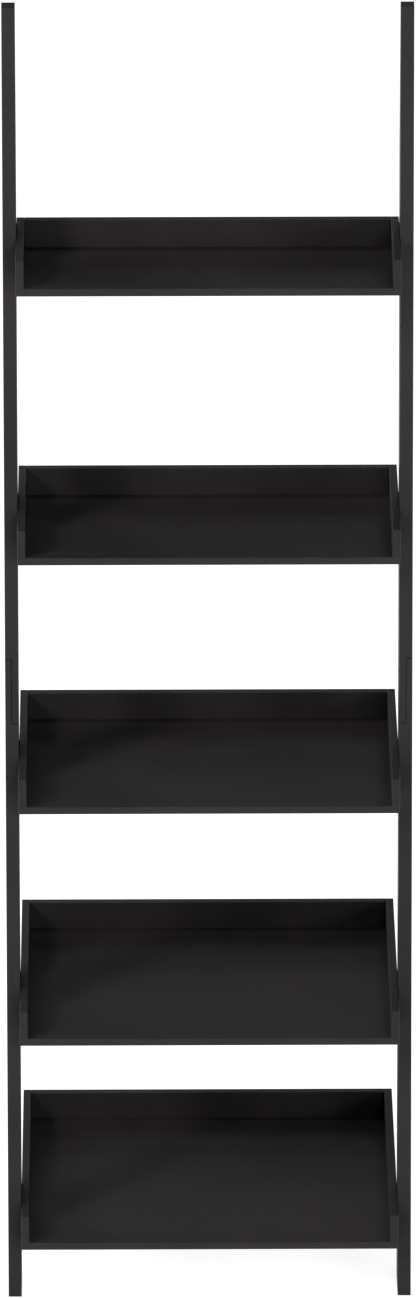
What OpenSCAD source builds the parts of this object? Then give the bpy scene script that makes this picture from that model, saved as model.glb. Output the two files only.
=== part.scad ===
/* [Overall] */
// Width over the outer faces of the two side rails
overall_w = 610; // [560:5:700]
// Height of the rail tops above the floor
overall_h = 1937; // [1860:1:2000]
// Depth from the front of the bottom tray to the wall
overall_d = 432; // [425:1:450]

/* [Side rails] */
// Angle that the rails lean back from upright, in degrees
lean = 11.5; // [11:0.1:11.8]
// Thickness of a rail board, as seen from the front
rail_t = 20; // [18:1:24]
// Width of a rail board, as seen from the side
rail_w = 68; // [62:1:74]
// Distance from the front of the bottom tray back to the front of the rail foot
foot_setback = 15; // [5:1:20]
// Height of the middle of the half-lap joint in each rail
splice_h = 923; // [900:1:960]
// Length of the half-lap joint, along the rail
splice_len = 100; // [80:1:110]

/* [Tray heights] */
// Height of the underside of the bottom tray
bottom_tray_h = 88; // [60:1:120]
// Height of the underside of the lower tray
lower_tray_h = 414; // [380:1:440]
// Height of the underside of the middle tray
middle_tray_h = 767; // [720:1:780]
// Height of the underside of the upper tray
upper_tray_h = 1138; // [1100:1:1180]
// Height of the underside of the top tray
top_tray_h = 1540; // [1500:1:1580]

/* [Tray depths] */
// Depth of the lower tray, from its front edge to the wall
lower_tray_d = 396; // [380:1:410]
// Depth of the middle tray
middle_tray_d = 330; // [310:1:350]
// Depth of the upper tray
upper_tray_d = 250; // [240:1:280]
// Depth of the top tray
top_tray_d = 178; // [170:1:200]

/* [Tray boards] */
// Thickness of the tray boards
board_t = 12; // [12:0.5:15]
// Height of the tray walls above the tray floor
tray_wall_h = 44; // [40:1:60]
// Radius on the free edges of every board
edge_r = 1.2; // [0.6:0.1:2]

/* [Hardware] */
// Length of the bolts that hold the trays to the rails, under the head
tray_bolt_len = 20; // [18:1:22]
// Length of the bolts through the half-lap joints, under the head
splice_bolt_len = 13; // [12:0.5:14]
// Distance between the two wall brackets under the top tray
bracket_spacing = 400; // [200:10:460]
// Length of each leg of a wall bracket
bracket_leg = 30; // [28:1:40]

/* [Hidden] */
$fn = 48;
LEVELS = ["bottom", "lower", "middle", "upper", "top"];
SIDES = ["left", "right"];
TRAY_BOARDS = ["_tray_floor", "_tray_back", "_tray_left_side", "_tray_right_side"];
TRAY_FIXINGS = ["_tray_dowels", "_tray_bolts", "_tray_inserts"];
SIDE_PARTS = ["_lower_rail", "_upper_rail", "_splice_bolts", "_splice_inserts",
    "_foot_glide", "_wall_bracket", "_bracket_screw"];

tray_h = [bottom_tray_h, lower_tray_h, middle_tray_h, upper_tray_h, top_tray_h];
tray_d = [overall_d, lower_tray_d, middle_tray_d, upper_tray_d, top_tray_d];
top_level = len(LEVELS) - 1;

rail_black = [0.21, 0.20, 0.20];
tray_black = [0.17, 0.16, 0.16];
dowel_beech = [0.80, 0.66, 0.47];
bolt_black = [0.12, 0.12, 0.13];
insert_zinc = [0.72, 0.72, 0.70];
glide_black = [0.08, 0.08, 0.08];

wall_y = overall_d / 2;
foot_y = -overall_d / 2 + foot_setback;
rail_x = -overall_w / 2;
tray_x = rail_x + rail_t;
tray_w = -2 * tray_x;
rail_run = rail_w / cos(lean);
rail_reach = overall_h / cos(lean) + rail_w;

lap_low = splice_h / cos(lean) - splice_len / 2;
lap_high = lap_low + splice_len;
tongue_t = rail_t / 2;
// Gap at the ends of the tongues, and width and depth of the groove along their edges
lap_gap = 1;
lap_groove_deep = 5;
splice_bolt_spacing = splice_len / 2;

bolt_d = 6;
bolt_hole_d = 6.6;
head_d = 10.5;
head_h = 3.2;
recess_d = 11.4;
recess_deep = 3.6;
hex_af = 4;
hex_deep = 2;
insert_d = 8.8;
insert_bore_d = 9;
insert_thread_d = 6.2;
insert_len = 13;
splice_insert_len = 8;
bolt_up = board_t + tray_wall_h / 2;
bolt_edge = 18;

dowel_d = 6;
dowel_bore_d = 6.2;
dowel_in_floor = 8;
dowel_in_wall = 14;
dowel_room = 0.5;
side_dowels = 3;
back_dowels = 4;
dowel_end = 30;

glide_t = 1;
glide_inset = 2;
glide_r = 4;
glide_pin_d = 4;
glide_pin_len = 12;
pin_play = 0.2;

bracket_w = 20;
bracket_t = 2;
bend_r = 2;
bracket_hole_at = 18;
wall_hole_d = 5.5;
screw_hole_d = 4.2;
screw_d = 3.5;
screw_len = 12;
screw_tip = 3;
screw_tip_d = 1;
screw_head_d = 7;
screw_head_h = 2.2;
// Overlap between joined solids, and how far a cutter passes the face that it cuts
eps = 0.01;
cut = 1;

// Front face of a rail at a height above the floor
function rail_front_y(z) = foot_y + z * tan(lean);

// Places of the two bolts on each side of a tray, as [y, z]
function bolt_places(i) = [for (inset = [bolt_edge, rail_run - bolt_edge])
    [rail_front_y(tray_h[i] + bolt_up) + inset, tray_h[i] + bolt_up]];

// Evenly spaced positions between two ends
function spread(first, last, count) =
    [for (k = [0:count - 1]) first + (last - first) * k / (count - 1)];

// Rectangle from the origin with its four corners rounded
module eased_rect(size, r) {
    translate([r, 0]) square([size.x - 2 * r, size.y]);
    translate([0, r]) square([size.x, size.y - 2 * r]);
    for (x = [r, size.x - r], y = [r, size.y - r]) translate([x, y]) circle(r);
}

// Board from the origin with all twelve edges rounded
module eased_board(size) {
    intersection() {
        linear_extrude(size.z) eased_rect([size.x, size.y], edge_r);
        translate([0, size.y, 0]) rotate([90, 0, 0])
            linear_extrude(size.y) eased_rect([size.x, size.z], edge_r);
        rotate([90, 0, 90]) linear_extrude(size.x) eased_rect([size.y, size.z], edge_r);
    }
}

// Board that stands on another one, with its lower edges left square
module standing_board(size) {
    intersection() {
        translate([0, 0, -2 * edge_r]) eased_board([size.x, size.y, size.z + 2 * edge_r]);
        translate([-cut, -cut, 0]) cube([size.x + 2 * cut, size.y + 2 * cut, size.z + cut]);
    }
}

// Draws its children for the left side, and mirrored for the right side
module for_side(side) {
    if (side == 0) children();
    else mirror([1, 0, 0]) children();
}

// Places its children on the slope of the left rail: x across the board from its
// outer face, y back from its front face, z along the rail from the floor
module on_rail() {
    translate([rail_x, foot_y, 0]) rotate([-lean, 0, 0]) children();
}

// Cylinder along +X from the origin
module rod_x(d, len) {
    rotate([0, 90, 0]) cylinder(d = d, h = len);
}

// Socket-head bolt along X, with the underside of its head at the origin
module bolt(len) {
    rotate([0, 90, 0]) {
        translate([0, 0, -len]) cylinder(d = bolt_d, h = len + eps);
        difference() {
            cylinder(d = head_d, h = head_h);
            translate([0, 0, head_h - hex_deep])
                cylinder(d = hex_af / cos(30), h = hex_deep + cut, $fn = 6);
        }
    }
}

// Threaded insert along +X from its closed end in the wood
module threaded_insert(len) {
    difference() {
        rod_x(insert_d, len);
        translate([-cut, 0, 0]) rod_x(insert_thread_d, len + 2 * cut);
    }
}

// ---- Side rails ----

// Length of rail board between two distances along it
module rail_stock(low, high) {
    on_rail() translate([0, 0, low]) linear_extrude(high - low) eased_rect([rail_t, rail_w], edge_r);
}

// Tongue of the half-lap between two distances along the rail, inwards from x0
module lap_tongue(low, high, x0) {
    intersection() {
        rail_stock(low, high);
        on_rail() translate([x0, -cut, low - cut])
            cube([tongue_t + cut, rail_w + 2 * cut, high - low + 2 * cut]);
    }
}

// Grooves that leave a fine dark line where the tongues meet, at the front and the back
module lap_grooves() {
    for (y = [-cut, rail_w - lap_groove_deep])
        on_rail() translate([tongue_t - lap_gap, y, lap_low])
            cube([lap_gap + cut, lap_groove_deep + cut, splice_len]);
}

// Cuts rail stock level at the floor and the top, and upright at the wall
module trimmed_to_room() {
    intersection() {
        children();
        translate([rail_x - cut, foot_y - rail_w, glide_t])
            cube([rail_t + 2 * cut, wall_y - foot_y + rail_w, overall_h - glide_t]);
    }
}

// Bores in the rail's inner face for the inserts of one tray
module tray_insert_bores(i) {
    for (p = bolt_places(i)) translate([tray_x - insert_len, p.x, p.y])
        rod_x(insert_bore_d, insert_len + cut);
}

// Places on the rail for its two splice bolts
module at_splice_bolts() {
    for (s = [-0.5, 0.5])
        on_rail() translate([0, rail_w / 2, (lap_low + lap_high) / 2 + s * splice_bolt_spacing])
            children();
}

module lower_rail(side) {
    color(rail_black) for_side(side) difference() {
        trimmed_to_room() union() {
            rail_stock(-rail_w, lap_low);
            lap_tongue(lap_low - eps, lap_high - lap_gap, -cut);
        }
        lap_grooves();
        for (i = [0:2]) tray_insert_bores(i);
        at_splice_bolts() translate([tongue_t - splice_insert_len, 0, 0])
            rod_x(insert_bore_d, splice_insert_len + cut);
        translate([rail_x + rail_t / 2, foot_y + rail_run / 2, 0])
            cylinder(d = glide_pin_d + pin_play, h = glide_t + glide_pin_len);
    }
}

module upper_rail(side) {
    color(rail_black) for_side(side) difference() {
        trimmed_to_room() union() {
            rail_stock(lap_high, rail_reach);
            lap_tongue(lap_low + lap_gap, lap_high + eps, tongue_t);
        }
        for (i = [3:top_level]) tray_insert_bores(i);
        at_splice_bolts() {
            rod_x(bolt_hole_d, rail_t + cut);
            translate([rail_t - recess_deep, 0, 0]) rod_x(recess_d, rail_t);
        }
    }
}

module splice_bolts(side) {
    color(bolt_black) for_side(side) at_splice_bolts()
        translate([rail_t - recess_deep, 0, 0]) bolt(splice_bolt_len);
}

module splice_inserts(side) {
    color(insert_zinc) for_side(side) at_splice_bolts()
        translate([tongue_t - splice_insert_len, 0, 0]) threaded_insert(splice_insert_len);
}

// Plastic glide under a rail foot, with a pin up into the end of the rail
module foot_glide(side) {
    color(glide_black) for_side(side) {
        translate([rail_x + glide_inset, foot_y + glide_inset, 0]) linear_extrude(glide_t)
            eased_rect([rail_t - 2 * glide_inset, rail_run - 2 * glide_inset], glide_r);
        translate([rail_x + rail_t / 2, foot_y + rail_run / 2, glide_t - eps])
            cylinder(d = glide_pin_d, h = glide_pin_len);
    }
}

// ---- Trays ----

// Places for the dowels between a tray's floor and its walls, at the top of the floor
module at_side_dowels(i) {
    for (y = spread(wall_y - tray_d[i] + dowel_end, wall_y - dowel_end, side_dowels))
        translate([tray_x + board_t / 2, y, tray_h[i] + board_t]) children();
}

module at_back_dowels(i) {
    reach = tray_w / 2 - board_t - dowel_end;
    for (x = spread(-reach, reach, back_dowels))
        translate([x, wall_y - board_t / 2, tray_h[i] + board_t]) children();
}

// Bore for one dowel, down into the floor and up into a wall from where they meet
module dowel_bore(down, up) {
    translate([0, 0, -down]) cylinder(d = dowel_bore_d, h = down + up);
}

module tray_floor(i) {
    color(tray_black) difference() {
        translate([tray_x, wall_y - tray_d[i], tray_h[i]])
            eased_board([tray_w, tray_d[i], board_t]);
        for (side = [0, 1]) for_side(side) at_side_dowels(i) dowel_bore(dowel_in_floor, cut);
        at_back_dowels(i) dowel_bore(dowel_in_floor, cut);
        if (i == top_level) for (side = [0, 1]) for_side(side) at_bracket()
            translate([0, -bracket_hole_at, -cut])
                cylinder(d = screw_d + pin_play, h = screw_len);
    }
}

module tray_back(i) {
    color(tray_black) difference() {
        translate([tray_x + board_t, wall_y - board_t, tray_h[i] + board_t])
            standing_board([tray_w - 2 * board_t, board_t, tray_wall_h]);
        at_back_dowels(i) dowel_bore(cut, dowel_in_wall + dowel_room);
    }
}

module tray_side(i, side) {
    color(tray_black) for_side(side) difference() {
        translate([tray_x, wall_y - tray_d[i], tray_h[i] + board_t])
            standing_board([board_t, tray_d[i], tray_wall_h]);
        at_side_dowels(i) dowel_bore(cut, dowel_in_wall + dowel_room);
        for (p = bolt_places(i)) translate([tray_x, p.x, p.y]) {
            translate([-cut, 0, 0]) rod_x(bolt_hole_d, board_t + 2 * cut);
            translate([board_t - recess_deep, 0, 0]) rod_x(recess_d, board_t);
        }
    }
}

module tray_dowels(i) {
    color(dowel_beech) {
        for (side = [0, 1]) for_side(side) at_side_dowels(i) dowel();
        at_back_dowels(i) dowel();
    }
}

module dowel() {
    translate([0, 0, -dowel_in_floor]) cylinder(d = dowel_d, h = dowel_in_floor + dowel_in_wall);
}

// Draws its children at every bolt of one tray, on both sides
module at_tray_bolts(i, x) {
    for (side = [0, 1], p = bolt_places(i)) for_side(side) translate([x, p.x, p.y]) children();
}

module tray_bolts(i) {
    color(bolt_black) at_tray_bolts(i, tray_x + board_t - recess_deep) bolt(tray_bolt_len);
}

module tray_inserts(i) {
    color(insert_zinc) at_tray_bolts(i, tray_x - insert_len) threaded_insert(insert_len);
}

// ---- Wall fixing ----

// Left bracket's place: the corner between the wall and the underside of the top tray
module at_bracket() {
    translate([-bracket_spacing / 2, wall_y, tray_h[top_level]]) children();
}

// Outline of the bracket from the side, with its corner at the origin
module bracket_outline() {
    bend = bend_r + bracket_t;
    translate([-bracket_leg, -bracket_t]) square([bracket_leg - bend, bracket_t]);
    translate([-bracket_t, -bracket_leg]) square([bracket_t, bracket_leg - bend]);
    intersection() {
        translate([-bend, -bend]) difference() {
            circle(bend);
            circle(bend_r);
        }
        translate([-bend, -bend]) square(bend);
    }
}

module wall_bracket(side) {
    color(bolt_black) for_side(side) at_bracket() difference() {
        translate([-bracket_w / 2, 0, 0]) rotate([90, 0, 90])
            linear_extrude(bracket_w) bracket_outline();
        translate([0, -bracket_hole_at, -bracket_t - cut])
            cylinder(d = screw_hole_d, h = bracket_t + 2 * cut);
        translate([0, cut, -bracket_hole_at]) rotate([90, 0, 0])
            cylinder(d = wall_hole_d, h = bracket_t + 2 * cut);
    }
}

// Pan-head wood screw up through the bracket into the tray floor
module bracket_screw(side) {
    color(bolt_black) for_side(side) at_bracket() translate([0, -bracket_hole_at, -bracket_t]) {
        translate([0, 0, -screw_head_h]) cylinder(d = screw_head_d, h = screw_head_h);
        translate([0, 0, -eps]) cylinder(d = screw_d, h = screw_len - screw_tip + eps);
        translate([0, 0, screw_len - screw_tip - eps])
            cylinder(d1 = screw_d, d2 = screw_tip_d, h = screw_tip);
    }
}

for (side = [0, 1]) {
    lower_rail(side);
    upper_rail(side);
    splice_bolts(side);
    splice_inserts(side);
    foot_glide(side);
    wall_bracket(side);
    bracket_screw(side);
}

for (i = [0:top_level]) {
    tray_floor(i);
    tray_back(i);
    tray_side(i, 0);
    tray_side(i, 1);
    tray_dowels(i);
    tray_bolts(i);
    tray_inserts(i);
}
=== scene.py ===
import math

import bpy
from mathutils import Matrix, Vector

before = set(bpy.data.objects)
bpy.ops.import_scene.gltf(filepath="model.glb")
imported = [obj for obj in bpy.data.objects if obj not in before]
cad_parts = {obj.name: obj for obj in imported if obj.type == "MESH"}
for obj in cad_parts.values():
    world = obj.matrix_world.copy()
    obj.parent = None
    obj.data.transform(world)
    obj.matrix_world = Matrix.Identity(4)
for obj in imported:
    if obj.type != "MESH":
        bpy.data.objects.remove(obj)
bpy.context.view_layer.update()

MM = 0.001

# ---- Paint: base colours, and sizes in metres and degrees ----

RAIL_LEAN = 11.5
UPPER_RAIL_BLACK = (0.0131, 0.0104, 0.0108)
LOWER_RAIL_BLACK = (0.0124, 0.0108, 0.0107)
TRAY_BLACK = (0.0132, 0.0107, 0.0118)
# Edge colour: partly worn paint, partly a painted highlight mixed in along every edge
WORN_AND_HIGHLIGHT_BLACK = (0.050, 0.045, 0.042)
PAINT_ROUGHNESS = 0.54
PAINT_SPECULAR = 0.24
# Width of the edge band that gets both the worn colour and the painted highlight
WEAR_AND_HIGHLIGHT_RADIUS = 1.0 * MM

# Waves a metre in the paint's patterns; where there are two, across and along the grain
CLOUDS = 6.0
WEAR_PATCHES = 45.0
STIPPLE = 520.0
GRAIN = (160.0, 5.0)
STROKES = (700.0, 30.0)
PORES = (1100.0, 70.0)

GRAIN_RELIEF = 0.09 * MM
STROKE_RELIEF = 0.02 * MM
PORE_RELIEF = 0.06 * MM
STIPPLE_RELIEF = 0.04 * MM

# ---- Hardware: base colours ----

BEECH = (0.62, 0.45, 0.28)
BEECH_DARK = (0.47, 0.32, 0.18)
BEECH_FLECK = (0.33, 0.21, 0.11)
ZINC = (0.62, 0.62, 0.60)
BLACK_STEEL = (0.045, 0.045, 0.048)
BLACK_PLASTIC = (0.018, 0.018, 0.018)

# ---- Studio: azimuths and elevations in degrees, with azimuth 0 in front ----

AIM = Vector((0.0, 0.0, 0.95))
LIGHT_DISTANCE = 6.0
SOFTBOXES = {  # name: (azimuth, elevation, size, watts)
    "key_low": (-50, 30, 0.9, 136.0),
    "key_high": (-60, 40, 0.9, 120.0),
    "front_fill": (12, 24, 1.4, 85.0),
    "right_fill": (44, 8, 1.4, 95.0),
    "left_rim": (-120, 16, 1.5, 165.0),
    "top_back": (180, 75, 2.0, 62.0),
    "back_right": (165, 26, 1.5, 12.0),
    "back_left": (-165, 16, 1.5, 10.0),
    "back_low": (180, 6, 1.5, 6.0),
}
FLOOR_SIZE = 400.0
FLOOR_WHITE = 0.5
FLOOR_GLOW = 0.90
SURROUND = 0.0
BACKDROP = 0.90

CAMERA_PLACE = (-0.105, -14.19, 7.331)
CAMERA_DOWN = 24.09
CAMERA_RIGHT = 0.4195
CAMERA_LENS = 288.2
CAMERA_FILM = 36.0


# ---- Building materials ----

class Finish:
    """A material under construction: a Principled shader, and short ways to add nodes to it."""

    def __init__(self, name, color, roughness, metallic=0.0):
        self.material = bpy.data.materials.new(name)
        self.material.use_nodes = True
        self.tree = self.material.node_tree
        self.shader = self.tree.nodes["Principled BSDF"]
        self.constant("Base Color", (*color, 1.0))
        self.constant("Roughness", roughness)
        self.constant("Metallic", metallic)
        coordinates = self.tree.nodes.new("ShaderNodeTexCoord")
        self.place = coordinates.outputs["Object"]
        self.facing = coordinates.outputs["Normal"]

    def constant(self, socket, value):
        self.shader.inputs[socket].default_value = value

    def node(self, kind, inputs, **settings):
        """Adds a node; inputs maps its sockets to numbers, colours or other nodes' outputs."""
        node = self.tree.nodes.new(kind)
        for key, value in settings.items():
            setattr(node, key, value)
        for key, value in inputs.items():
            if isinstance(value, bpy.types.NodeSocket):
                self.tree.links.new(value, node.inputs[key])
            else:
                node.inputs[key].default_value = value
        return node

    def math(self, operation, a, b):
        return self.node("ShaderNodeMath", {0: a, 1: b}, operation=operation).outputs[0]

    def ramp(self, value, low, high, to_low=0.0, to_high=1.0):
        """Spreads low..high over to_low..to_high, and holds the ends."""
        inputs = {"Value": value, "From Min": low, "From Max": high,
                  "To Min": to_low, "To Max": to_high}
        return self.node("ShaderNodeMapRange", inputs).outputs["Result"]

    def mix(self, factor, first, second):
        colors = [(*c, 1.0) if isinstance(c, tuple) else c for c in (first, second)]
        inputs = {0: factor, 6: colors[0], 7: colors[1]}
        return self.node("ShaderNodeMix", inputs, data_type="RGBA").outputs[2]

    def turned(self, vector, degrees):
        """A place or direction turned about X, so that a leaning board stands upright in it."""
        inputs = {"Vector": vector, "Rotation": (math.radians(degrees), 0.0, 0.0)}
        return self.node("ShaderNodeMapping", inputs).outputs["Vector"]

    def noise(self, per_metre, detail=2.0, roughness=0.5, place=None, warp=0.0):
        """Noise with so many waves a metre, as one number or as three along X, Y and Z."""
        place = place or self.place
        if not isinstance(per_metre, tuple):
            per_metre = (per_metre,) * 3
        inputs = {0: place, 1: per_metre}
        scaled = self.node("ShaderNodeVectorMath", inputs, operation="MULTIPLY").outputs[0]
        inputs = {"Vector": scaled, "Scale": 1.0, "Detail": detail, "Roughness": roughness,
                  "Distortion": warp}
        return self.node("ShaderNodeTexNoise", inputs).outputs["Fac"]

    def bump(self, height, depth, under=None):
        inputs = {"Height": height, "Distance": depth}
        if under is not None:
            inputs["Normal"] = under
        return self.node("ShaderNodeBump", inputs).outputs["Normal"]

    def edges(self, radius, lean):
        """1 on the edges of a squared board, 0 on its faces from a radius inwards."""
        rounded = self.node("ShaderNodeBevel", {"Radius": radius}, samples=4).outputs["Normal"]
        squared = self.turned(rounded, lean)
        squared = self.node("ShaderNodeVectorMath", {0: squared}, operation="ABSOLUTE").outputs[0]
        parts = self.node("ShaderNodeSeparateXYZ", {"Vector": squared}).outputs
        largest = self.math("MAXIMUM", self.math("MAXIMUM", parts[0], parts[1]), parts[2])
        return self.ramp(largest, 0.96, 0.80)

    def facing_along(self, axis):
        """1 on faces square to an axis, 0 on faces that lie along it."""
        direction = tuple(float(i == axis) for i in range(3))
        inputs = {0: self.facing, 1: direction}
        dot = self.node("ShaderNodeVectorMath", inputs, operation="DOT_PRODUCT")
        return self.ramp(self.math("ABSOLUTE", dot.outputs["Value"], 0.0), 0.85, 0.95)

    def done(self, **links):
        for socket, value in links.items():
            self.tree.links.new(value, self.shader.inputs[socket.replace("_", " ")])
        return self.material


def along_grain(axis, waves):
    """Waves a metre along X, Y and Z for a pattern that runs along one axis."""
    across, along = waves
    return tuple(along if i == axis else across for i in range(3))


def shaded(color, amount):
    return tuple(channel * amount for channel in color)


def satin_paint(name, color, axis, lean=0.0):
    """Satin black paint over a board whose grain runs along an axis, leaning back if asked."""
    paint = Finish(name, color, PAINT_ROUGHNESS)
    paint.constant("Specular IOR Level", PAINT_SPECULAR)
    board = paint.turned(paint.place, lean)

    clouds = paint.noise(CLOUDS, 3.0)
    grain = paint.noise(along_grain(axis, GRAIN), 5.0, 0.6, board, 0.8)
    strokes = paint.noise(along_grain(axis, STROKES), 3.0, 0.55, board, 0.5)
    pores = paint.ramp(paint.noise(along_grain(axis, PORES), 1.0, 0.5, board), 0.24, 0.36)
    stipple = paint.noise(STIPPLE, 3.0, 0.6)
    end_grain = paint.facing_along(axis)
    edges = paint.edges(WEAR_AND_HIGHLIGHT_RADIUS, lean)
    # Every edge gets at least 0.15 of the worn colour as a painted highlight; patches of real
    # wear raise it to 0.60
    wear_patches_and_highlight = paint.ramp(paint.noise(WEAR_PATCHES, 5.0, 0.65), 0.48, 0.62, 0.15, 0.60)
    wear_and_highlight = paint.math("MULTIPLY", edges, wear_patches_and_highlight)

    shade = paint.mix(paint.ramp(clouds, 0.35, 0.65), shaded(color, 0.82), shaded(color, 1.22))
    shade = paint.mix(paint.ramp(grain, 0.30, 0.42, 0.30, 0.0), shade, shaded(color, 0.6))
    # Painted highlight and real wear: edges lightened towards the worn colour
    shade = paint.mix(wear_and_highlight, shade, WORN_AND_HIGHLIGHT_BLACK)

    rough = paint.ramp(clouds, 0.3, 0.7, PAINT_ROUGHNESS - 0.04, PAINT_ROUGHNESS + 0.04)
    rough = paint.math("ADD", rough, paint.ramp(strokes, 0.3, 0.7, -0.04, 0.04))
    rough = paint.math("ADD", rough, paint.math("MULTIPLY", end_grain, 0.12))
    rough = paint.math("SUBTRACT", rough, paint.math("MULTIPLY", edges, 0.10))

    normal = paint.bump(grain, GRAIN_RELIEF)
    normal = paint.bump(strokes, STROKE_RELIEF, normal)
    normal = paint.bump(pores, PORE_RELIEF, normal)
    normal = paint.bump(stipple, STIPPLE_RELIEF, normal)
    return paint.done(Base_Color=shade, Roughness=rough, Normal=normal)


def beech():
    wood = Finish("beech_dowel", BEECH, 0.6)
    fibres = wood.noise((900.0, 900.0, 60.0), 4.0, 0.6)
    flecks = wood.ramp(wood.noise((1500.0, 1500.0, 200.0)), 0.58, 0.66)
    shade = wood.mix(flecks, wood.mix(fibres, BEECH, BEECH_DARK), BEECH_FLECK)
    rough = wood.ramp(fibres, 0.3, 0.7, 0.5, 0.7)
    return wood.done(Base_Color=shade, Roughness=rough, Normal=wood.bump(fibres, 0.05 * MM))


def metal(name, color, roughness, marks_per_metre):
    """Steel with fine marks and a mottled coat."""
    steel = Finish(name, color, roughness, metallic=1.0)
    marks = steel.noise(marks_per_metre, 3.0)
    mottle = steel.ramp(steel.noise(260.0, 4.0), 0.50, 0.72)
    shade = steel.mix(mottle, color, shaded(color, 0.6))
    rough = steel.ramp(marks, 0.3, 0.7, roughness - 0.08, roughness + 0.10)
    return steel.done(Base_Color=shade, Roughness=rough, Normal=steel.bump(marks, 0.02 * MM))


def moulded_plastic():
    plastic = Finish("black_plastic", BLACK_PLASTIC, 0.55)
    clouds = plastic.noise(60.0)
    shade = plastic.mix(clouds, BLACK_PLASTIC, shaded(BLACK_PLASTIC, 1.6))
    rough = plastic.ramp(clouds, 0.3, 0.7, 0.5, 0.62)
    normal = plastic.bump(plastic.noise(1400.0), 0.04 * MM)
    return plastic.done(Base_Color=shade, Roughness=rough, Normal=normal)


def finish_cad_nodes():
    """Gives every CAD node its material, by the end of the node's name."""
    upper_rail = satin_paint("painted_upper_rail", UPPER_RAIL_BLACK, 2, RAIL_LEAN)
    lower_rail = satin_paint("painted_lower_rail", LOWER_RAIL_BLACK, 2, RAIL_LEAN)
    wide_board = satin_paint("painted_wide_board", TRAY_BLACK, 0)
    side_board = satin_paint("painted_side_board", TRAY_BLACK, 1)
    zinc = metal("zinc_insert", ZINC, 0.35, (5000.0, 300.0, 300.0))
    steel = metal("black_steel", BLACK_STEEL, 0.42, 700.0)
    finishes = {
        "_upper_rail": upper_rail, "_lower_rail": lower_rail, "_floor": wide_board,
        "_back": wide_board, "_side": side_board, "_dowels": beech(), "_inserts": zinc,
        "_bolts": steel, "_bracket": steel, "_screw": steel, "_glide": moulded_plastic(),
    }
    for name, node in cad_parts.items():
        node.data.materials.clear()
        finish = next(finishes[end] for end in finishes if name.endswith(end))
        node.data.materials.append(finish)


# ---- Studio ----

def studio_floor():
    half = FLOOR_SIZE / 2
    mesh = bpy.data.meshes.new("studio_floor")
    corners = [(-half, -half, 0), (half, -half, 0), (half, half, 0), (-half, half, 0)]
    mesh.from_pydata(corners, [], [range(4)])
    floor = bpy.data.objects.new("studio_floor", mesh)
    bpy.context.scene.collection.objects.link(floor)
    white = Finish("studio_floor", (FLOOR_WHITE,) * 3, 0.9)
    white.constant("Specular IOR Level", 0.0)
    white.constant("Emission Color", (1.0, 1.0, 1.0, 1.0))
    white.constant("Emission Strength", FLOOR_GLOW)
    mesh.materials.append(white.material)


def softbox(name, azimuth, elevation, size, watts):
    light = bpy.data.lights.new(name, "AREA")
    light.shape = "SQUARE"
    light.size = size
    light.energy = watts
    side, up = math.radians(azimuth), math.radians(elevation)
    out = Vector((math.sin(side) * math.cos(up), -math.cos(side) * math.cos(up), math.sin(up)))
    box = bpy.data.objects.new(name, light)
    box.location = AIM + out * LIGHT_DISTANCE
    box.rotation_euler = out.to_track_quat("Z", "Y").to_euler()
    bpy.context.scene.collection.objects.link(box)


def studio_world():
    """A pale backdrop that is seen, but that lights nothing."""
    world = bpy.data.worlds.new("studio")
    world.use_nodes = True
    tree = world.node_tree
    backdrop = tree.nodes["Background"]
    backdrop.inputs["Color"].default_value = (1.0, 1.0, 1.0, 1.0)
    seen = tree.nodes.new("ShaderNodeLightPath").outputs["Is Camera Ray"]
    strength = tree.nodes.new("ShaderNodeMapRange")
    strength.inputs["To Min"].default_value = SURROUND
    strength.inputs["To Max"].default_value = BACKDROP
    tree.links.new(seen, strength.inputs["Value"])
    tree.links.new(strength.outputs["Result"], backdrop.inputs["Strength"])
    bpy.context.scene.world = world


def camera():
    lens = bpy.data.cameras.new("camera")
    lens.sensor_fit = "VERTICAL"
    lens.sensor_height = CAMERA_FILM
    lens.lens = CAMERA_LENS
    lens.clip_end = 100.0
    holder = bpy.data.objects.new("camera", lens)
    holder.location = CAMERA_PLACE
    holder.rotation_euler = (math.radians(90 - CAMERA_DOWN), 0.0, math.radians(-CAMERA_RIGHT))
    bpy.context.scene.collection.objects.link(holder)
    bpy.context.scene.camera = holder


finish_cad_nodes()
studio_floor()
studio_world()
for box_name, settings in SOFTBOXES.items():
    softbox(box_name, *settings)
camera()
bpy.context.scene.view_settings.view_transform = "Standard"
